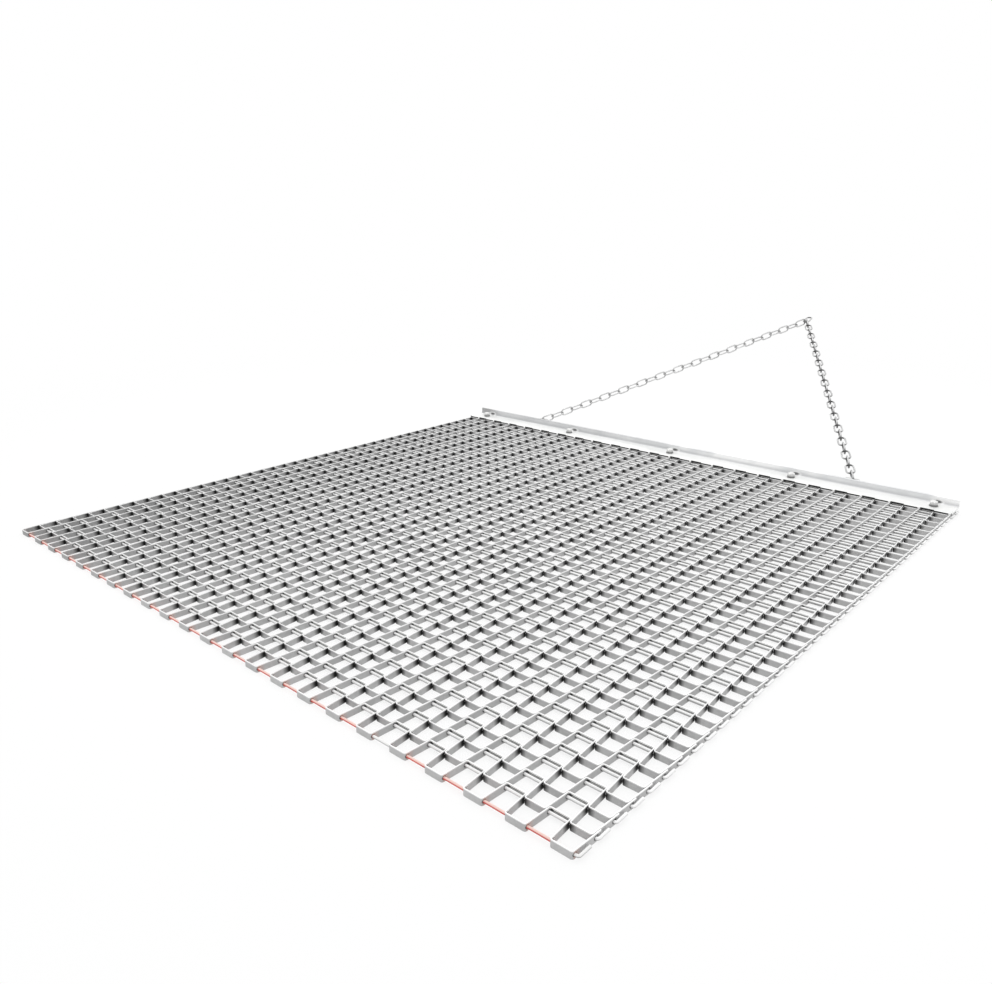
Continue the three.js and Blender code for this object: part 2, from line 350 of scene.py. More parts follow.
# %% Strip: rod holes
begin()
bpy.ops.mesh.primitive_cylinder_add(
    vertices=8, radius=ROD_HOLE_RADIUS, depth=MAT_WIDTH + 60 * MM, rotation=(0, math.pi / 2, 0)
)
bpy.context.object.location = (0, 0, ROD_LEVEL)
cutter = done("rod_cutter")
for rod_y in (0, PITCH):
    one_cutter = twin(cutter, "one_cutter", Matrix.Translation((0, rod_y, 0)))
    modify(strip, "BOOLEAN", operation="DIFFERENCE", object=one_cutter, solver="EXACT")
    drop(one_cutter)
drop(cutter)
smooth(strip, 35)
measure(strip)

# %% [markdown]
# ## One cross rod
# A rod is round wire. Past the last legs it is bent forward on both sides, so that it can't work
# its way out. The end face of a cylinder is picked, spun through a quarter turn and pushed on,
# which is the bend a fitter makes with a lever.

# %% Cross rod
BEND_X = MAT_WIDTH / 2 + 2.8 * MM  # just past the last leg
CORNER = 3 * MM
CLINCH = 26 * MM

begin()
bpy.ops.mesh.primitive_cylinder_add(
    vertices=12, radius=ROD_RADIUS, depth=2 * BEND_X, rotation=(0, math.pi / 2, 0)
)
bpy.context.object.location = (0, 0, ROD_LEVEL)
rod = done("woven_rod")
for side in (-1, 1):
    edit("FACE")
    pick_faces(lambda middle, normal: middle.x * side > BEND_X - CLOSE and normal.x * side > FACING)
    bpy.ops.mesh.spin(
        steps=4,
        angle=math.radians(90),
        center=(BEND_X * side, CORNER, ROD_LEVEL),
        axis=(0, 0, -side),
    )
    push(0, CLINCH - CORNER)
    bpy.ops.object.mode_set(mode="OBJECT")
outward(rod)
smooth(rod, 40)
measure(rod)

# %% [markdown]
# ## The mat
# Every strip and every rod is a copy with its own mesh, because each rides on its own part of the
# mat when the rows fold. The trailing rod is the only painted one.

# %% Copies of the strips and rods
strips = []
rods = []
for index in range(STRIPS):
    body, node, _ = mat_body(index)
    place = Matrix.Translation((0, first_rod_y + PITCH * index, 0))
    piece = twin(strip, f"woven_strip_{index:02d}", place)
    fit(piece, body, [node])
    strips.append(piece)
for index in range(STRIPS + 1):
    body, _, node = mat_body(index)
    place = Matrix.Translation((0, first_rod_y + PITCH * index, 0))
    piece = twin(rod, f"woven_rod_{index:02d}", place)
    fit(piece, body, [node])
    rods.append(piece)
drop(strip)
drop(rod)
print(len(strips), "strips", len(rods), "rods")

# %% [markdown]
# ## The lead bar
# The bar is an unequal rolled angle. Rolled sections have a round root inside and round toes, and
# those catch the light. The long leg is a block, the short leg is pushed up out of its front
# margin, and the root and toes are bevelled before the bolt holes are drilled.

# %% Lead bar: section
BAR_LENGTH = MAT_WIDTH + 10 * MM
BAR_DEPTH = 75 * MM
BAR_HEIGHT = 26 * MM
BAR_THICKNESS = 5 * MM
BAR_PAST_ROD = 46 * MM
ROOT_RADIUS = 6 * MM
TOE_RADIUS = 2 * MM
BAR_BOTTOM = STRIP_HEIGHT + GAP
BAR_REAR = front_rod_y - BAR_PAST_ROD
BAR_FRONT = BAR_REAR + BAR_DEPTH
BAR_TOP = BAR_BOTTOM + BAR_THICKNESS
inner_y = BAR_FRONT - BAR_THICKNESS


def along_bar(a, b, y, z):
    """Tells whether an edge runs the bar's whole length at a given depth and height."""
    return abs(a.x - b.x) > BAR_LENGTH / 2 and abs(a.y - y) < CLOSE and abs(a.z - z) < CLOSE


begin()
bpy.ops.mesh.primitive_cube_add(size=1)
bar = bpy.context.object
bar.scale = (BAR_LENGTH, BAR_DEPTH, BAR_THICKNESS)
bar.location = (0, BAR_REAR + BAR_DEPTH / 2, BAR_BOTTOM + BAR_THICKNESS / 2)
bar = done("lead_angle_bar")
edit("FACE")
bpy.ops.mesh.select_all(action="SELECT")
bpy.ops.mesh.bisect(plane_co=(0, inner_y, 0), plane_no=(0, 1, 0))
pick_faces(lambda middle, normal: normal.z > FACING and middle.y > inner_y)
push(0, 0, BAR_HEIGHT - BAR_THICKNESS)
bpy.ops.mesh.select_mode(type="EDGE")
pick_edges(lambda a, b: along_bar(a, b, inner_y, BAR_TOP))
bpy.ops.mesh.bevel(offset=ROOT_RADIUS, segments=5, profile=0.5, affect="EDGES")
toes = ((inner_y, BAR_BOTTOM + BAR_HEIGHT), (BAR_REAR, BAR_TOP))
pick_edges(lambda a, b: any(along_bar(a, b, *toe) for toe in toes))
bpy.ops.mesh.bevel(offset=TOE_RADIUS, segments=3, profile=0.5, affect="EDGES")
bar = done("lead_angle_bar")
outward(bar)
measure(bar)

# %% [markdown]
# Five bolts hold the bar, each just behind the front rod, which its jaw hooks under. Their holes
# are drilled by taking a round cutter away. The inner two are moved out a little from even
# spacing, so that no bolt runs through a leg of the weave.

# %% Lead bar: bolt holes
BOLT_RADIUS = 6 * MM
HOLE_ROOM = 0.4 * MM
BOLT_Y = front_rod_y - ROD_RADIUS - BOLT_RADIUS - GAP
OUTER_BOLT = MAT_WIDTH / 2 - 52 * MM
INNER_SHARE = 0.5094  # of the outer bolts' distance from the middle
INNER_BOLT = OUTER_BOLT * INNER_SHARE
bolt_places = [-OUTER_BOLT, -INNER_BOLT, 0, INNER_BOLT, OUTER_BOLT]

for bolt_x in bolt_places:
    begin()
    bpy.ops.mesh.primitive_cylinder_add(
        vertices=24, radius=BOLT_RADIUS + HOLE_ROOM, depth=6 * BAR_THICKNESS
    )
    bpy.context.object.location = (bolt_x, BOLT_Y, BAR_BOTTOM)
    drill = done("drill")
    modify(bar, "BOOLEAN", operation="DIFFERENCE", object=drill, solver="EXACT")
    drop(drill)
smooth(bar, 35)
measure(bar)
fit(bar, "lead_frame", ["lead_bar"])

# %% [markdown]
# ## The staples and their welds
# The chains pull on two staples of round bar, welded to the front of the short leg. A disc is
# pushed out and spun twice to make the U. Each foot has a weld bead: a ring whose outer points
# rise and fall a little, as hand-laid weld does.

# %% Staple
STAPLE_RADIUS = 4 * MM
STAPLE_HALF = 20 * MM
STAPLE_REACH = 24 * MM
STAPLE_CORNER = 9 * MM
STAPLE_X = MAT_WIDTH / 2 - 300 * MM
STAPLE_BELOW_EDGE = 3.7 * MM
FOOT_IN_BAR = 2 * MM
STAPLE_LEVEL = BAR_BOTTOM + BAR_HEIGHT - STAPLE_BELOW_EDGE - STAPLE_RADIUS
foot_y = BAR_FRONT - FOOT_IN_BAR
tip_y = BAR_FRONT + STAPLE_REACH
arm_end_y = tip_y - STAPLE_CORNER
turn_x = STAPLE_HALF - STAPLE_CORNER
quarter_turn = dict(steps=6, angle=math.radians(90), axis=(0, 0, 1))

begin()
bpy.ops.mesh.primitive_cylinder_add(
    vertices=16,
    radius=STAPLE_RADIUS,
    depth=arm_end_y - foot_y,
    rotation=(math.pi / 2, 0, 0),
)
bpy.context.object.location = (-STAPLE_HALF, (foot_y + arm_end_y) / 2, STAPLE_LEVEL)
staple = done("staple")
edit("FACE")
pick_faces(lambda middle, normal: normal.y > FACING)
bpy.ops.mesh.spin(center=(-turn_x, arm_end_y, STAPLE_LEVEL), **quarter_turn)
push(2 * turn_x)
bpy.ops.mesh.spin(center=(turn_x, arm_end_y, STAPLE_LEVEL), **quarter_turn)
push(0, foot_y - arm_end_y)
staple = done("staple")
outward(staple)
smooth(staple, 40)
measure(staple)

# %% [markdown]
# A bead is a ring of weld round the foot. Its outer points are moved by two sines, so that it
# rises and falls as the welder's hand did. What would lie inside the bar is pressed flat.

# %% Weld bead round a staple's foot
BEAD_RADIUS = 2.0 * MM
BEAD_ROOM = 0.8 * MM
BEAD_IN_BAR = 1 * MM
RIPPLES = ((0.30 * MM, 9, 0), (0.18 * MM, 4, 1))

begin()
bpy.ops.mesh.primitive_torus_add(
    major_radius=STAPLE_RADIUS + BEAD_ROOM,
    minor_radius=BEAD_RADIUS,
    major_segments=28,
    minor_segments=10,
    rotation=(math.pi / 2, 0, 0),
)
bpy.context.object.location = (0, BAR_FRONT, STAPLE_LEVEL)
bead = done("weld_bead")
for point in bead.data.vertices:
    spoke = Vector((point.co.x, 0, point.co.z - STAPLE_LEVEL))
    around = math.atan2(spoke.z, spoke.x)
    ripple = sum(size * math.sin(times * around + start) for size, times, start in RIPPLES)
    point.co += spoke.normalized() * ripple
    point.co.y = max(point.co.y, BAR_FRONT - BEAD_IN_BAR)
smooth(bead, 60)
measure(bead)

for side, word in ((-1, "left"), (1, "right")):
    piece = twin(staple, f"staple_{word}", Matrix.Translation((side * STAPLE_X, 0, 0)))
    fit(piece, "lead_frame", ["lead_bar"])
    for foot, number in ((-1, 1), (1, 2)):
        bead_x = side * STAPLE_X + foot * STAPLE_HALF
        piece = twin(bead, f"weld_bead_{word}_{number}", Matrix.Translation((bead_x, 0, 0)))
        fit(piece, "lead_frame", ["lead_bar"])
drop(staple)
drop(bead)

# %% [markdown]
# ## The clamp bolts
# Each bolt comes up through the bar, with a washer and a hexagon nut. A real nut is a hexagon
# turned on a lathe, so its corners end in curved chamfers. The same shape comes from cutting a
# six-sided block with a bevelled round one. The bolt's end is turned to a small chamfer too, and
# stands just proud of the nut.

# %% Nut
NUT_FLATS = 19 * MM
NUT_HEIGHT = 10.8 * MM
NUT_CHAMFER = 1.5 * MM
TURNED_ROOM = 0.05 * MM
WASHER_RADIUS = 12 * MM
WASHER_HEIGHT = 2.5 * MM
BOLT_END = 2 * MM
SEAT = BAR_TOP + GAP
corner_radius = NUT_FLATS / math.sqrt(3)
nut_foot = SEAT + WASHER_HEIGHT
nut_top = nut_foot + NUT_HEIGHT
nut_middle = (0, BOLT_Y, (nut_foot + nut_top) / 2)

begin()
bpy.ops.mesh.primitive_cylinder_add(vertices=6, radius=corner_radius, depth=NUT_HEIGHT)
bpy.context.object.location = nut_middle
nut = done("clamp_nut")
begin()
bpy.ops.mesh.primitive_cylinder_add(
    vertices=48, radius=corner_radius + TURNED_ROOM, depth=NUT_HEIGHT
)
bpy.context.object.location = nut_middle
turned = done("turned_round")
edit("EDGE")
pick_edges(lambda a, b: abs(a.z - b.z) < CLOSE)
bpy.ops.mesh.bevel(offset=NUT_CHAMFER, segments=1, affect="EDGES")
turned = done("turned_round")
modify(nut, "BOOLEAN", operation="INTERSECT", object=turned, solver="EXACT")
drop(turned)
smooth(nut, 25)
measure(nut)

# %% [markdown]
# A washer is stamped, so its upper rim is rounded and its lower one is sharp. The shank runs
# from the jaw to just above the nut. Each nut stopped where it was tight, so each of the five
# stacks is turned by another angle.

# %% Washer and bolt
WASHER_ROUND = 0.5 * MM
BOLT_CHAMFER = 1.1 * MM
BOLT_FOOT = 0.4 * MM
TURNS = (11, 38, 4, 52, 20)  # degrees

begin()
bpy.ops.mesh.primitive_cylinder_add(vertices=32, radius=WASHER_RADIUS, depth=WASHER_HEIGHT)
bpy.context.object.location = (0, BOLT_Y, SEAT + WASHER_HEIGHT / 2)
washer = done("clamp_washer")
edit("EDGE")
pick_edges(lambda a, b: abs(a.z - b.z) < CLOSE and min(a.z, b.z) > SEAT + 0.5 * WASHER_HEIGHT)
bpy.ops.mesh.bevel(offset=WASHER_ROUND, segments=2, affect="EDGES")
washer = done("clamp_washer")
smooth(washer, 40)
measure(washer)

begin()
bpy.ops.mesh.primitive_cylinder_add(
    vertices=24, radius=BOLT_RADIUS, depth=nut_top + BOLT_END - BOLT_FOOT
)
bpy.context.object.location = (0, BOLT_Y, (nut_top + BOLT_END + BOLT_FOOT) / 2)
bolt = done("clamp_shank")
edit("EDGE")
pick_edges(lambda a, b: abs(a.z - b.z) < CLOSE)
bpy.ops.mesh.bevel(offset=BOLT_CHAMFER, segments=2, affect="EDGES")
bolt = done("clamp_shank")
smooth(bolt, 40)
measure(bolt)

for number, (bolt_x, degrees) in enumerate(zip(bolt_places, TURNS), 1):
    turned_by = Matrix.Rotation(math.radians(degrees), 4, "Z")
    to_axis = Matrix.Translation((0, -BOLT_Y, 0))
    about = Matrix.Translation((bolt_x, BOLT_Y, 0)) @ turned_by @ to_axis
    for part in (nut, washer, bolt):
        piece = twin(part, f"{part.name}_{number}", about)
        fit(piece, "lead_frame", [f"clamp_bolt_{number}"])
for part in (nut, washer, bolt):
    drop(part)

# %% [markdown]
# ## The chain
# Long-link chain is round wire, bent and butt-welded in the middle of one side. Half of a ring is
# drawn away from the other half, which leaves two straight sides, and the weld is a slight swelling
# of one of them. Every other link stands on edge. The links follow the same line as the CAD links:
# from the staple, up the slope, to the hitch link in the middle.

# %% Chain link
WIRE_RADIUS = 2.7 * MM
LINK_ARC = 12.2 * MM
LINK_LENGTH = 47.6 * MM
WELD_CUTS = (-2.0 * MM, -0.7 * MM, 0.7 * MM, 2.0 * MM)
WELD_HALF = 1 * MM
WELD_SWELLING = 1.14

begin()
bpy.ops.mesh.primitive_torus_add(
    major_radius=LINK_ARC, minor_radius=WIRE_RADIUS, major_segments=20, minor_segments=10
)
bpy.context.object.location = (0, LINK_ARC, 0)
link = done("chain_link")
edit("VERT")
shape = bmesh.from_edit_mesh(link.data)
for point in shape.verts:
    point.select_set(point.co.y > LINK_ARC + CLOSE)
shape.select_flush(True)
bmesh.update_edit_mesh(link.data)
bpy.ops.transform.translate(value=(0, LINK_LENGTH - 2 * LINK_ARC, 0))
weld_y = LINK_LENGTH / 2
for cut in WELD_CUTS:
    bpy.ops.mesh.select_all(action="SELECT")
    bpy.ops.mesh.bisect(plane_co=(0, weld_y + cut, 0), plane_no=(0, 1, 0))
for point in shape.verts:
    point.select_set(point.co.x > 0 and abs(point.co.y - weld_y) < WELD_HALF)
bmesh.update_edit_mesh(link.data)
bpy.ops.transform.resize(
    value=(WELD_SWELLING, 1, WELD_SWELLING),
    center_override=(LINK_ARC, weld_y, 0),
    orient_type="GLOBAL",
)
link = done("chain_link")
smooth(link, 60)
measure(link)

# %% [markdown]
# Where one link hangs in the next, the crowns are black with grime and wear. A link's place along
# the chain can't tell where its own crowns are, so the mark is stored on the link's points, and
# every copy takes it along.

# %% Chain link: marks where the links bear
MARK_END = 12 * MM
MARK_FADE = 5 * MM

bearing = link.data.attributes.new("bearing", "FLOAT", "POINT")
for point in link.data.vertices:
    from_crown = min(point.co.y, LINK_LENGTH - 2 * WIRE_RADIUS - point.co.y) + WIRE_RADIUS
    sideways = math.hypot(point.co.x, point.co.z)
    spot = math.hypot(max(from_crown, 0), sideways)
    bearing.data[point.index].value = max(0.0, min(1.0, (MARK_END - spot) / MARK_FADE))
print(sum(1 for mark in bearing.data if mark.value > 0.5), "points in the crowns' marks")

# %% [markdown]
# Each leg is a straight run of 29 links. It leans inwards just so far that its front end meets
# the other leg's in the hitch link. The hook round the staple and the lean depend on each other,
# so both are found in a few rounds. The wire is a little thinner than the CAD's, and the links
# take the CAD's pitch and clearances, so that they ride on the same bodies.

# %% Chain: where each link lies
CAD_LINK = 48 * MM
CAD_WIRE = 6 * MM
CAD_INSIDE = 16 * MM
LINKS = 29
SEGMENTS = 7
SLOPE = math.radians(18.6)
ROUNDS = 8
HITCH_SCALE = 0.984


def segment_of(index):
    """Which of the seven bodies of a leg carries a link."""
    return index * SEGMENTS // LINKS


starts = [0.0]
for index in range(1, LINKS):
    free = segment_of(index) != segment_of(index - 1)
    starts.append(starts[-1] + CAD_LINK - CAD_WIRE - (GAP if free else -GAP))
chain_length = starts[-1] + CAD_LINK
tip_x = CAD_WIRE / 2 + GAP
spread = STAPLE_X - tip_x
seat_back = STAPLE_RADIUS + CAD_WIRE / 2 + GAP
hook_back = seat_back
for _ in range(ROUNDS):
    hook_back = seat_back / math.cos(math.asin(spread / (chain_length - hook_back)))
run = chain_length - hook_back
lean = math.asin(spread / run)
climb = math.sqrt(run * run - spread * spread)
print("chain", round(run, 4), "m each side, leaning in by", round(math.degrees(lean), 2))

bridle = Matrix.Translation((0, tip_y, STAPLE_LEVEL)) @ Matrix.Rotation(SLOPE, 4, "X")
chain_links = []
for side, word in ((-1, "left"), (1, "right")):
    leg_start = bridle @ Matrix.Translation((side * STAPLE_X, 0, 0))
    leg = leg_start @ Matrix.Rotation(side * lean, 4, "Z")
    for index, start in enumerate(starts):
        place = leg @ Matrix.Translation((0, start - hook_back, 0))
        if index % 2 == 0:
            place = place @ Matrix.Rotation(math.pi / 2, 4, "Y")
        piece = twin(link, f"link_{word}_{index + 1:02d}", place)
        node = f"chain_{word}_{segment_of(index) + 1}"
        fit(piece, node, [node])
        chain_links.append(piece)
half_room = (CAD_INSIDE - CAD_WIRE) / 2 - GAP
cad_arc = (CAD_INSIDE + CAD_WIRE) / 2
hitch_y = climb + math.sqrt(half_room**2 - tip_x**2) - cad_arc
place = bridle @ Matrix.Translation((0, hitch_y, 0)) @ Matrix.Scale(HITCH_SCALE, 4)
hitch = twin(link, "hitch_ring", place)
fit(hitch, "hitch", ["hitch_link"])
chain_links.append(hitch)
drop(link)
print(len(chain_links), "links")

# %% [markdown]
# ## Finishes
# A finish is built of what the real process leaves: zinc freezes in faint crystals, and it dulls in
# clouds. Over that lie painted highlights on upper edges and tops, and painted shade in corners and
# gaps. One small function adds a node with its settings and links. Each mark on a finish is a
# function that tells where the mark lies and in what tone, and the marks are mixed over the plain
# finish one after the other.

# %% Helpers for finishes


def colour(code):
    """sRGB hex to the linear colour that Blender works in."""
    channels = [int(code[i : i + 2], 16) / 255 for i in (1, 3, 5)]
    return [c / 12.92 if c <= 0.04045 else ((c + 0.055) / 1.055) ** 2.4 for c in channels] + [1.0]


def empty_tree(owner):
    """The node tree of a material or a world, without the nodes that it comes with."""
    owner.use_nodes = True
    owner.node_tree.nodes.clear()
    return owner.node_tree


def add(tree, kind, feeds=(), out=0, **settings):
    """Adds a node and returns the output asked for. Settings are the node's properties, and feeds
    give its inputs a value or a link, in their order or by name. A Map Range takes a value, the
    range it comes from and the range it goes to. A Mix of colours has them at 6 and 7, and its
    output at 2."""
    made = tree.nodes.new("ShaderNode" + kind)
    for key, value in settings.items():
        setattr(made, key, value)
    for key, value in feeds.items() if isinstance(feeds, dict) else enumerate(feeds):
        if isinstance(value, bpy.types.NodeSocket):
            tree.links.new(value, made.inputs[key])
        else:
            made.inputs[key].default_value = value
    return made.outputs[out] if made.outputs else None


def lay_marks(tree, surface, marks, x, y, z):
    """Mixes marks over a surface in their order. A mark lies where all of its shares hold."""
    for mark in marks:
        shares, tone = mark(tree, x, y, z)
        share = shares[0]
        for other in shares[1:]:
            share = add(tree, "Math", [share, other], operation="MULTIPLY")
        tone = colour(tone) if isinstance(tone, str) else tone
        surface = add(tree, "Mix", {0: share, 6: surface, 7: tone}, out=2, data_type="RGBA")
    return surface


def finish_surface(tree, feeds, relief, height):
    """The shader itself, with a bump of a real height, and the output."""
    bump = add(tree, "Bump", {"Strength": 1.0, "Distance": height, "Height": relief})
    shader = add(tree, "BsdfPrincipled", {**feeds, "Normal": bump})
    add(tree, "OutputMaterial", [shader])


def to_nearest(tree, value, first, step):
    """How far a value is from the nearest of the places that follow the first, a step apart."""
    past_first = add(tree, "Math", [value, first], operation="SUBTRACT")
    return add(tree, "Math", [past_first, step / 2], operation="PINGPONG")


def past_last(tree, value, first, step):
    """How far a value is past the last of those places."""
    past_first = add(tree, "Math", [value, first], operation="SUBTRACT")
    return add(tree, "Math", [past_first, step], operation="FLOORED_MODULO")


# %% [markdown]
# ### Marks on the weave
# The weave is never one grey. Its upper edges carry a painted highlight, and painted shade lies
# round the holes and in the corners where the bends nest. In every second cell the camera sees a
# wall close behind the rod, with a painted shade line between them and a painted highlight above
# it, and in the others the wall hides the rod. All of this follows the cells and the pitch, so the
# places are worked out from those.

# %% Marks on the weave
CORNER_BEHIND = 2.0 * MM
CORNER_SHAPE = (0.62, 0.50, 0.4)
LINE_LEVEL = ROD_LEVEL + 3.1 * MM


def painted_highlight_above(level, strength):
    """A painted highlight above a level, on the upper edges of the weave and the upper sides of the
    rods.
    """

    def mark(tree, x, y, z):
        rub = add(tree, "MapRange", [z, level, level + 0.8 * MM, 0.0, strength])
        return [rub], "#fafafa"

    return mark


def darker_left_side(tree, x, y, z):
    """Darker towards the left side of the mat, and most so at its edge."""
    share = add(tree, "MapRange", [x, left_edge, left_edge / 4, 0.45, 0.0])
    return [share], "#5c5c5c"


def painted_corner_shade(tree, x, y, z):
    """Painted shade where a wall meets the leg on its left, drawn out along both and up the corner.
    """
    across = to_nearest(tree, x, left_edge, 2 * CELL)
    behind = past_last(tree, first_rod_y - CORNER_BEHIND, y, PITCH)
    height = add(tree, "Math", [z, ROD_LEVEL], operation="SUBTRACT")
    apart = add(tree, "CombineXYZ", [across, behind, height])
    eased = add(tree, "VectorMath", [apart, CORNER_SHAPE], operation="MULTIPLY")
    length = add(tree, "VectorMath", [eased], out="Value", operation="LENGTH")
    near = add(tree, "MapRange", [length, 2.6 * MM, 8.6 * MM, 0.96, 0.0])
    inside = add(tree, "MapRange", [y, first_rod_y, first_rod_y + 5 * MM, 0.0, 1.0])
    return [near, inside], "#1c1c1c"


def painted_shade_rings(tree, x, y, z):
    """A painted dark ring on each leg round its rod hole, as shade in the gap round the rod."""
    depth = to_nearest(tree, y, first_rod_y, PITCH)
    height = add(tree, "Math", [z, ROD_LEVEL], operation="SUBTRACT")
    apart = add(tree, "CombineXYZ", [0.0, depth, height])
    away = add(tree, "VectorMath", [apart], out="Value", operation="LENGTH")
    ring = add(tree, "MapRange", [away, 3.5 * MM, 4.3 * MM, 0.85, 0.0])
    return [ring], "#2a2a2a"


def shade_and_highlight_behind_rods(tree, x, y, z):
    """On a wall close ahead of a rod: a painted shade line above the rod, and a broad painted
    highlight over it. The line swells in the corner beside the leg on its left."""
    from_wall = to_nearest(tree, y, first_rod_y + WALL_OFFSET, PITCH)
    on_wall = add(tree, "MapRange", [from_wall, 1.0 * MM, 1.4 * MM, 1.0, 0.0])
    above_rod = add(tree, "MapRange", [z, ROD_LEVEL + 1.0 * MM, ROD_LEVEL + 1.6 * MM, 0.0, 0.9])
    from_leg = past_last(tree, x, left_edge + CELL, 2 * CELL)
    swelling = add(tree, "MapRange", [from_leg, 6 * MM, 10 * MM, 1.2 * MM, 0.0])
    from_line = add(tree, "Math", [z, LINE_LEVEL], operation="SUBTRACT")
    from_line = add(tree, "Math", [from_line], operation="ABSOLUTE")
    from_line = add(tree, "Math", [from_line, swelling], operation="SUBTRACT")
    bright = add(tree, "MapRange", [from_line, 0.4 * MM, 0.9 * MM, 0.0, 1.0])
    tones = {0: bright, 6: colour("#1e1e1e"), 7: colour("#f6f6f5")}
    return [on_wall, above_rod], add(tree, "Mix", tones, out=2, data_type="RGBA")


def overspray(tree, x, y, z):
    """Red mist from the painting of the trailing rod, on the legs beside its open stretches."""
    fading = add(tree, "MapRange", [y, first_rod_y, first_rod_y + 13 * MM, 0.45, 0.0])
    inside = add(tree, "MapRange", [y, first_rod_y - 3 * MM, first_rod_y - 1 * MM, 0.0, 1.0])
    across = to_nearest(tree, x, left_edge + CELL, 2 * CELL)
    beside = add(tree, "MapRange", [across, 12 * MM, 20 * MM, 1.0, 0.0])
    return [fading, inside, beside], "#c98b74"


# %% [markdown]
# ### Marks on the bar, the bolts and the chain
# The bar's short leg has soft pale patches, painted shade towards its left end and above its root,
# and a painted reflection of each nut in front of it. A painted black shadow lies along the bar's
# rear edge above the weave. The nuts carry a painted highlight on top and painted shade low down,
# and grime darkens the links where they bear on each other.

# %% Marks on the bar
FLANGE_PATCH = Vector((100, 1000, 55.6)) * MM
# Where each nut's painted reflection lies on the short leg, and how it is drawn out.
NUT_REFLECTION_PLACE = Vector((2, 0, 4.5)) * MM
NUT_REFLECTION_SHAPE = (0.45, 1.0, 1.0)


def on_short_leg(tree, z):
    """1 on the short leg, and 0 on the flat of the bar."""
    return add(tree, "MapRange", [z, BAR_TOP + 0.3 * MM, BAR_TOP + 1.5 * MM, 0.0, 1.0])


def patches_and_shade_on_flange(tree, x, y, z):
    """Soft pale patches a hand wide on the short leg's greyer tone, and painted shade to its left
    end.
    """
    place = add(tree, "TexCoord", out="Object")
    scale = [1 / size for size in FLANGE_PATCH]
    drawn_out = add(tree, "Mapping", {"Vector": place, "Scale": scale})
    patch = add(tree, "TexNoise", {"Vector": drawn_out, "Scale": 1.0, "Detail": 1.0})
    patch = add(tree, "MapRange", [patch, 0.40, 0.60, 0.0, 1.0])
    left = -BAR_LENGTH / 2
    shade_to_left = add(tree, "MapRange", [x, -300 * MM, 50 * MM, 0.7, 0.0])
    left_end = add(tree, "MapRange", [x, left + 40 * MM, left + 90 * MM, 0.8, 0.0])
    tone = colour("#e0e1e2")
    for share, other in ((patch, "#fafafa"), (shade_to_left, "#c4c5c6"), (left_end, "#969696")):
        tones = {0: share, 6: tone, 7: colour(other)}
        tone = add(tree, "Mix", tones, out=2, data_type="RGBA")
    return [on_short_leg(tree, z)], tone


def painted_root_shade(tree, x, y, z):
    """Painted shade on the short leg above the root, in the inside corner of the angle."""
    root = add(tree, "MapRange", [z, BAR_TOP + 4 * MM, BAR_TOP + 12 * MM, 0.6, 0.0])
    return [root, on_short_leg(tree, z)], "#b2b3b5"


def painted_nut_reflections(full, gone, tone):
    """A painted reflection of each nut on the short leg in front of it, in the tone given."""

    def mark(tree, x, y, z):
        place = add(tree, "TexCoord", out="Object")
        share = 0.0
        for bolt_x in bolt_places:
            middle = Vector((bolt_x, BAR_FRONT - BAR_THICKNESS, BAR_TOP)) + NUT_REFLECTION_PLACE
            away = add(tree, "VectorMath", [place, middle], operation="SUBTRACT")
            shaped = add(tree, "VectorMath", [away, NUT_REFLECTION_SHAPE], operation="MULTIPLY")
            length = add(tree, "VectorMath", [shaped], out="Value", operation="LENGTH")
            mirrored_nut = add(tree, "MapRange", [length, full, gone, 0.85, 0.0])
            share = add(tree, "Math", [mirrored_nut, share], operation="MAXIMUM")
        return [share], tone

    return mark


def painted_shadow_rear_edge(tree, x, y, z):
    """The sheared rear edge of the bar, with a painted black shadow above the weave, where the
    bar's underside shades the gap. The black is thicker over the cells where the rod shows than
    over those whose wall hides it, and it breaks where each leg touches the edge."""
    edge = add(tree, "MapRange", [y, BAR_REAR + 1.6 * MM, BAR_REAR + 2.4 * MM, 1.0, 0.0])
    along = past_last(tree, x, left_edge, 2 * CELL)
    raised = add(tree, "MapRange", [along, CELL - 0.5 * MM, CELL + 0.5 * MM, 0.0, 2.4 * MM])
    height = add(tree, "Math", [z, raised], operation="SUBTRACT")
    in_shadow = add(tree, "MapRange", [height, BAR_BOTTOM + 3.2 * MM, BAR_BOTTOM + 3.8 * MM, 1.0, 0.0])
    from_leg = to_nearest(tree, x, left_edge + CELL, 2 * CELL)
    clear_of_leg = add(tree, "MapRange", [from_leg, 2.5 * MM, 4.0 * MM, 0.0, 1.0])
    return [edge, in_shadow, clear_of_leg], "#0a0a0a"


# %% Marks on the bolts and the chain


def painted_shade_low_on_nuts(tree, x, y, z):
    """Painted shade on the washers and the lower part of each nut."""
    foot = [z, SEAT + 0.6 * WASHER_HEIGHT, nut_foot + 7 * MM, 0.85, 0.0]
    return [add(tree, "MapRange", foot)], "#4a4a4a"


def painted_highlight_nut_tops(tree, x, y, z):
    """A painted highlight that whitens the tops of the nuts."""
    top = add(tree, "MapRange", [z, nut_top - 0.6 * MM, nut_top - 0.2 * MM, 0.0, 0.9])
    return [top], "#f6f6f5"


def grimy_crowns(tree, x, y, z):
    """Grime where the links bear on each other. The left leg hangs slack and stays cleaner."""
    crown = add(tree, "Attribute", out="Fac", attribute_name="bearing")
    side = add(tree, "MapRange", [x, -20 * MM, 0.0, 0.3, 1.0])
    return [crown, side], "#5c5c5c"


# %% [markdown]
# ### Zinc
# Hot-dip zinc freezes in crystals of some millimetres and dulls in clouds a hand wide. Each of the
# six zinc finishes has its own greys, crystals and clouds, and the marks that lie on it. Metallic
# stays low, because weathered zinc has a skin of carbonate that hides most of the metal.

# %% Zinc finishes
CRYSTAL_CONTRAST = 0.18
# The real skin is finer than the photo can show, so it is drawn coarser, seven grains to 10 mm.
SKIN_GRAIN = 10 * MM / 7
SKIN_HEIGHT = 0.06 * MM


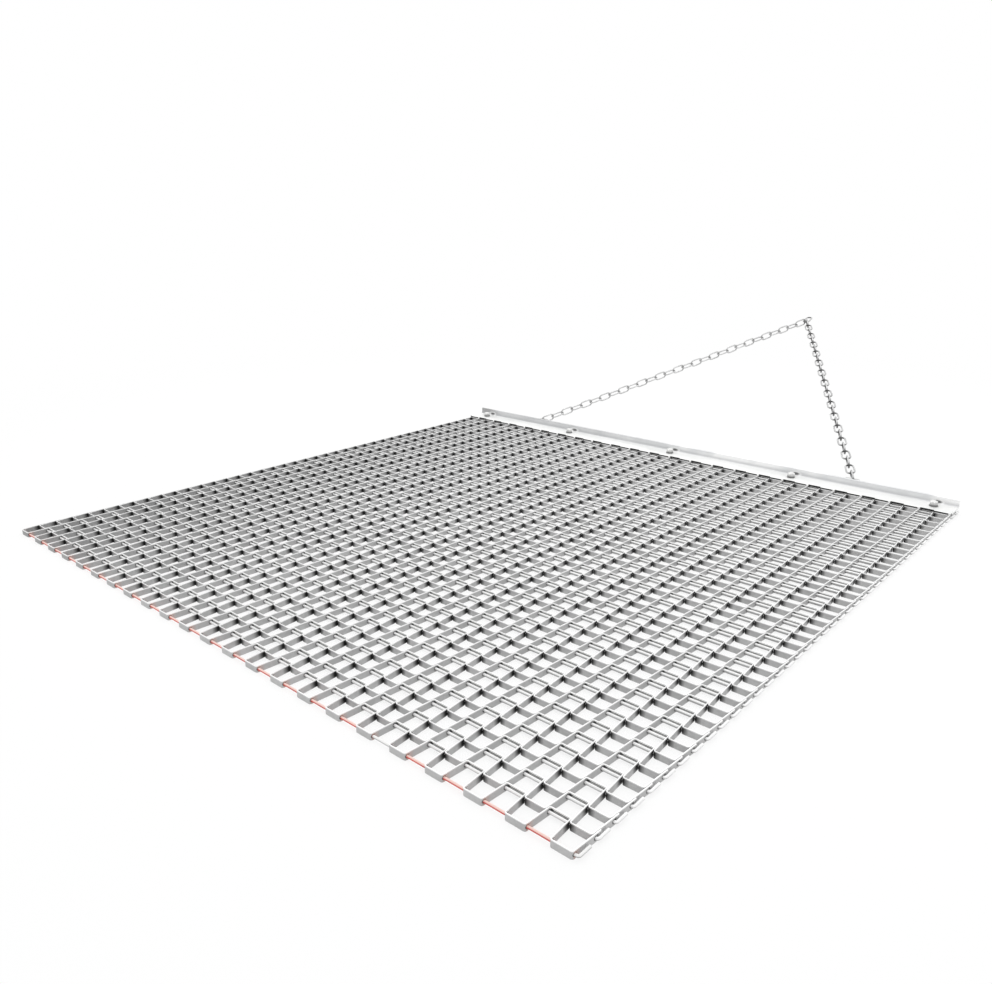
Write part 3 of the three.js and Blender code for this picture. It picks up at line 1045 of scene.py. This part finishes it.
def zinc(name, dull, bright, crystal, clouds, metallic, rough, marks=()):
    """A zinc surface. Crystal is a size, and clouds are three sizes in mm, along x, y and z."""
    material = bpy.data.materials.new(name)
    tree = empty_tree(material)
    place = add(tree, "TexCoord", out="Object")
    x, y, z = [add(tree, "SeparateXYZ", [place], out=axis) for axis in "XYZ"]
    scale = [1 / (size * MM) for size in clouds]
    drawn_out = add(tree, "Mapping", {"Vector": place, "Scale": scale})
    noise = {"Vector": drawn_out, "Scale": 1.0, "Detail": 3.0, "Roughness": 0.55}
    cloud = add(tree, "TexNoise", noise)
    crystals = add(tree, "TexVoronoi", {"Vector": place, "Scale": 1 / crystal}, out="Color")
    shade = add(tree, "SeparateColor", [crystals], out="Red")
    cloud_share = add(tree, "MapRange", [cloud, 0.35, 0.65, 0.0, 1.0])
    crystal_share = add(tree, "MapRange", [shade, 0.0, 1.0, -CRYSTAL_CONTRAST, CRYSTAL_CONTRAST])
    share = add(tree, "Math", [cloud_share, crystal_share], operation="ADD", use_clamp=True)
    tones = {0: share, 6: colour(dull), 7: colour(bright)}
    surface = add(tree, "Mix", tones, out=2, data_type="RGBA")
    surface = lay_marks(tree, surface, marks, x, y, z)
    skin = add(tree, "TexNoise", {"Vector": place, "Scale": 1 / SKIN_GRAIN, "Detail": 2.0})
    roughness = add(tree, "MapRange", [cloud, 0.3, 0.7, *rough])
    feeds = {"Base Color": surface, "Roughness": roughness, "Metallic": metallic}
    finish_surface(tree, feeds, skin, SKIN_HEIGHT)
    return material


# Flat grey with painted shade in the corners and a painted highlight on the upper edges, which is
# what makes the weave readable.
strip_zinc = zinc(
    "dull_zinc_strip",
    dull="#b4b4b4",
    bright="#c6c6c6",
    crystal=6 * MM,
    clouds=(111.1, 111.1, 111.1),
    metallic=0.35,
    rough=(0.42, 0.58),
    marks=(
        darker_left_side,
        painted_corner_shade,
        painted_shade_rings,
        shade_and_highlight_behind_rods,
        overspray,
        painted_highlight_above(STRIP_HEIGHT - 2.0 * MM, 0.9),
    ),
)
# Drawn wire has streaks along its length, and a rod's upper side carries a painted highlight.
rod_zinc = zinc(
    "rubbed_zinc_wire",
    dull="#acacac",
    bright="#c2c2c2",
    crystal=3 * MM,
    clouds=(83.3, 25, 25),
    metallic=0.2,
    rough=(0.35, 0.5),
    marks=(painted_highlight_above(ROD_LEVEL - 0.4 * MM, 1.0),),
)
# The bar is newer and nearly white, so its patches, painted nut reflections and painted shadow
# stand out.
bar_zinc = zinc(
    "bright_zinc_bar",
    dull="#eeefee",
    bright="#f8f8f7",
    crystal=9 * MM,
    clouds=(200, 45.5, 45.5),
    metallic=0.2,
    rough=(0.28, 0.42),
    marks=(
        patches_and_shade_on_flange,
        painted_root_shade,
        painted_nut_reflections(6 * MM, 10 * MM, "#f6f6f6"),
        painted_nut_reflections(3 * MM, 6.5 * MM, "#2c2d2d"),
        painted_shadow_rear_edge,
    ),
)
# The staples are a shade darker than the bar, so that they stand off from it.
staple_zinc = zinc(
    "bright_zinc_staple",
    dull="#c2c2c2",
    bright="#e2e2e1",
    crystal=3 * MM,
    clouds=(25, 25, 25),
    metallic=0.35,
    rough=(0.28, 0.42),
)
# Plating is smooth, and its crystals are too fine to show, so they are drawn 2 mm and 3 mm wide.
bolt_zinc = zinc(
    "plated_bolt_zinc",
    dull="#cccccc",
    bright="#eeeeed",
    crystal=2 * MM,
    clouds=(16.67, 16.67, 16.67),
    metallic=0.4,
    rough=(0.25, 0.38),
    marks=(painted_shade_low_on_nuts, painted_highlight_nut_tops),
)
# The links are round and smooth, so each shows a bright line down its side between dark crowns.
chain_zinc = zinc(
    "plated_chain_zinc",
    dull="#b6b6b6",
    bright="#d2d2d2",
    crystal=3 * MM,
    clouds=(33.33, 33.33, 33.33),
    metallic=0.45,
    rough=(0.28, 0.42),
    marks=(grimy_crowns,),
)
for finish in (strip_zinc, rod_zinc, bar_zinc, staple_zinc, bolt_zinc, chain_zinc):
    print(finish.name, len(finish.node_tree.nodes), "nodes")

# %% [markdown]
# ### Red paint
# The trailing rod is dipped in a matt orange-red paint, with a pale painted highlight on its upper
# side. It is chipped to the zinc in a few spots, and one stretch of a cell's width was missed, as
# were the bent ends by which the rod was held.

# %% Red paint
# Three patches, twelve chips and fifteen ripples to 50 mm.
PAINT_PATCH = 50 * MM / 3
PAINT_CHIP = 50 * MM / 12
PAINT_RIPPLE = 50 * MM / 15
RIPPLE_HEIGHT = 0.1 * MM
MISSED_MIDDLE = left_edge + 35.5 * CELL
HELD_END = MAT_WIDTH / 2 - 3 * MM


def painted_highlight_on_red(tree, x, y, z):
    """A pale painted highlight on the upper side of the red."""
    lit_top_share = add(tree, "MapRange", [z, ROD_LEVEL + 0.5 * MM, ROD_LEVEL + 1.9 * MM, 0.0, 0.85])
    return [lit_top_share], "#fbe2d9"


def chips(tree, x, y, z):
    """Small spots where stones have knocked the paint off."""
    place = add(tree, "TexCoord", out="Object")
    noise = add(tree, "TexNoise", {"Vector": place, "Scale": 1 / PAINT_CHIP, "Detail": 5.0})
    return [add(tree, "MapRange", [noise, 0.70, 0.74, 0.0, 1.0])], "#b8b8b8"


def bare_stretches(tree, x, y, z):
    """The missed stretch and the held ends show the rod's zinc, with a painted highlight on its top
    and painted shade below.
    """
    outer = add(tree, "Math", [x], operation="ABSOLUTE")
    held = add(tree, "MapRange", [outer, HELD_END, HELD_END + 2 * MM, 0.0, 1.0])
    missed = add(tree, "Math", [x, MISSED_MIDDLE, CELL / 2], operation="COMPARE")
    bare = add(tree, "Math", [held, missed], operation="MAXIMUM")
    upper = add(tree, "MapRange", [z, ROD_LEVEL - 0.5 * MM, ROD_LEVEL + 1.2 * MM, 0.0, 1.0])
    tones = {0: upper, 6: colour("#9c9c9c"), 7: colour("#f6f6f5")}
    return [bare], add(tree, "Mix", tones, out=2, data_type="RGBA")


# The paint varies between two reds, and the paler one is duller. It ripples as dip paint does.
red_paint = bpy.data.materials.new("matt_red_paint")
tree = empty_tree(red_paint)
place = add(tree, "TexCoord", out="Object")
x, y, z = [add(tree, "SeparateXYZ", [place], out=axis) for axis in "XYZ"]
patch = add(tree, "TexNoise", {"Vector": place, "Scale": 1 / PAINT_PATCH, "Detail": 4.0})
share = add(tree, "MapRange", [patch, 0.35, 0.65, 0.0, 1.0])
tones = {0: share, 6: colour("#c5291f"), 7: colour("#dc4836")}
surface = add(tree, "Mix", tones, out=2, data_type="RGBA")
surface = lay_marks(tree, surface, (painted_highlight_on_red, chips, bare_stretches), x, y, z)
ripple = add(tree, "TexNoise", {"Vector": place, "Scale": 1 / PAINT_RIPPLE, "Detail": 2.0})
roughness = add(tree, "MapRange", [patch, 0.3, 0.7, 0.45, 0.62])
feeds = {"Base Color": surface, "Roughness": roughness, "Metallic": 0.0}
finish_surface(tree, feeds, ripple, RIPPLE_HEIGHT)
print(red_paint.name, len(tree.nodes), "nodes")

# %% [markdown]
# ### Finishes on their pieces
# Each piece has one finish. The jaws under the bar are hidden, so they stay as their CAD nodes, and
# take the finish of the bolts.

# %% Finishes on their pieces


def coat(piece, material):
    """Gives a piece one finish."""
    piece.data.materials.clear()
    piece.data.materials.append(material)


for piece in strips:
    coat(piece, strip_zinc)
for piece in rods[1:]:
    coat(piece, rod_zinc)
coat(rods[0], red_paint)
coat(bar, bar_zinc)
for piece in bpy.data.objects:
    if piece.name.startswith(("staple_", "weld_bead_")):
        coat(piece, staple_zinc)
    if piece.name.startswith(("clamp_nut_", "clamp_washer_", "clamp_shank_")):
        coat(piece, bolt_zinc)
for piece in chain_links:
    coat(piece, chain_zinc)
for number in range(1, len(bolt_places) + 1):
    jaw = frame["nodes"][f"clamp_jaw_{number}"]
    for slot in jaw.material_slots:
        slot.material = bolt_zinc
print(len(bpy.data.materials), "materials")

# %% [markdown]
# ## Floor, world and lamps
# The photograph has a plain white ground. The floor is pale and keeps a faint shadow of the mat,
# and the full one under the bar. Further out it gives way to the white world behind it, so that no
# horizon shows, and rows that hang down below the floor can still be seen. One broad lamp overhead
# whitens all that faces up and leaves the standing faces grey, which is what shows the weave.

# %% Floor
FLOOR_SIDE = 60.0
FLOOR_LEVEL = -0.5 * MM
SHADOW_FROM = 1.8
SHADOW_TO = 3.2
WHITE = colour("#ffffff")


def seen_directly(tree):
    """1 for a ray from the camera, or one that metal or glass passes on, and 0 for other light."""
    seen = 0.0
    for ray in ("Is Camera Ray", "Is Glossy Ray", "Is Transmission Ray"):
        ray_kind = add(tree, "LightPath", out=ray)
        seen = add(tree, "Math", [seen, ray_kind], operation="MAXIMUM")
    return seen


begin()
bpy.ops.mesh.primitive_plane_add(size=FLOOR_SIDE)
bpy.context.object.location = (0, 0, FLOOR_LEVEL)
floor = done("floor")
floor_finish = bpy.data.materials.new("pale_floor")
tree = empty_tree(floor_finish)
place = add(tree, "TexCoord", out="Object")
away = add(tree, "VectorMath", [place], out="Value", operation="LENGTH")
white_share = add(tree, "MapRange", [away, SHADOW_FROM, SHADOW_TO, 0.85, 1.0])
clear_of_bar = 0.0
bar_sides = (("X", 0.0, BAR_LENGTH / 2), ("Y", BAR_REAR + BAR_DEPTH / 2, BAR_DEPTH / 2))
for axis, middle, half in bar_sides:
    apart = add(tree, "SeparateXYZ", [place], out=axis)
    apart = add(tree, "Math", [apart, middle], operation="SUBTRACT")
    apart = add(tree, "Math", [apart], operation="ABSOLUTE")
    beyond = add(tree, "MapRange", [apart, half - 4 * MM, half + 2 * MM, 0.0, 1.0])
    clear_of_bar = add(tree, "Math", [clear_of_bar, beyond], operation="MAXIMUM")
share = seen_directly(tree)
for factor in (white_share, clear_of_bar):
    share = add(tree, "Math", [share, factor], operation="MULTIPLY")
# A camera ray goes on to the white world, and a reflection finds white here.
matt = add(tree, "BsdfDiffuse", [colour("#fafafa")])
glow = add(tree, "Emission", [WHITE, 1.0])
clear = add(tree, "BsdfTransparent")
ground = add(tree, "MixShader", [add(tree, "LightPath", out="Is Camera Ray"), glow, clear])
add(tree, "OutputMaterial", [add(tree, "MixShader", [share, matt, ground])])
coat(floor, floor_finish)
print("floor", FLOOR_SIDE, "m wide at", FLOOR_LEVEL)

# %% World and lamps
WORLD_LIGHT = 0.8
LAMP_SIDE = 4.0
LAMP_POWER = 60.0
LAMP_PLACE = (-0.3, 0.4, 3.2)

world = bpy.data.worlds.new("studio")
bpy.context.scene.world = world
tree = empty_tree(world)
lit = add(tree, "Background", [WHITE, WORLD_LIGHT])
white = add(tree, "Background", [WHITE, 1.0])
add(tree, "OutputWorld", [add(tree, "MixShader", [seen_directly(tree), lit, white])])

lamp_data = bpy.data.lights.new("overhead_lamp", "AREA")
lamp_data.shape = "RECTANGLE"
lamp_data.size = LAMP_SIDE
lamp_data.size_y = LAMP_SIDE
lamp_data.energy = LAMP_POWER
lamp = bpy.data.objects.new("overhead_lamp", lamp_data)
lamp.location = LAMP_PLACE
bpy.context.collection.objects.link(lamp)

bpy.context.scene.view_settings.view_transform = "Standard"
print("world light", WORLD_LIGHT, "lamp", LAMP_POWER, "W")
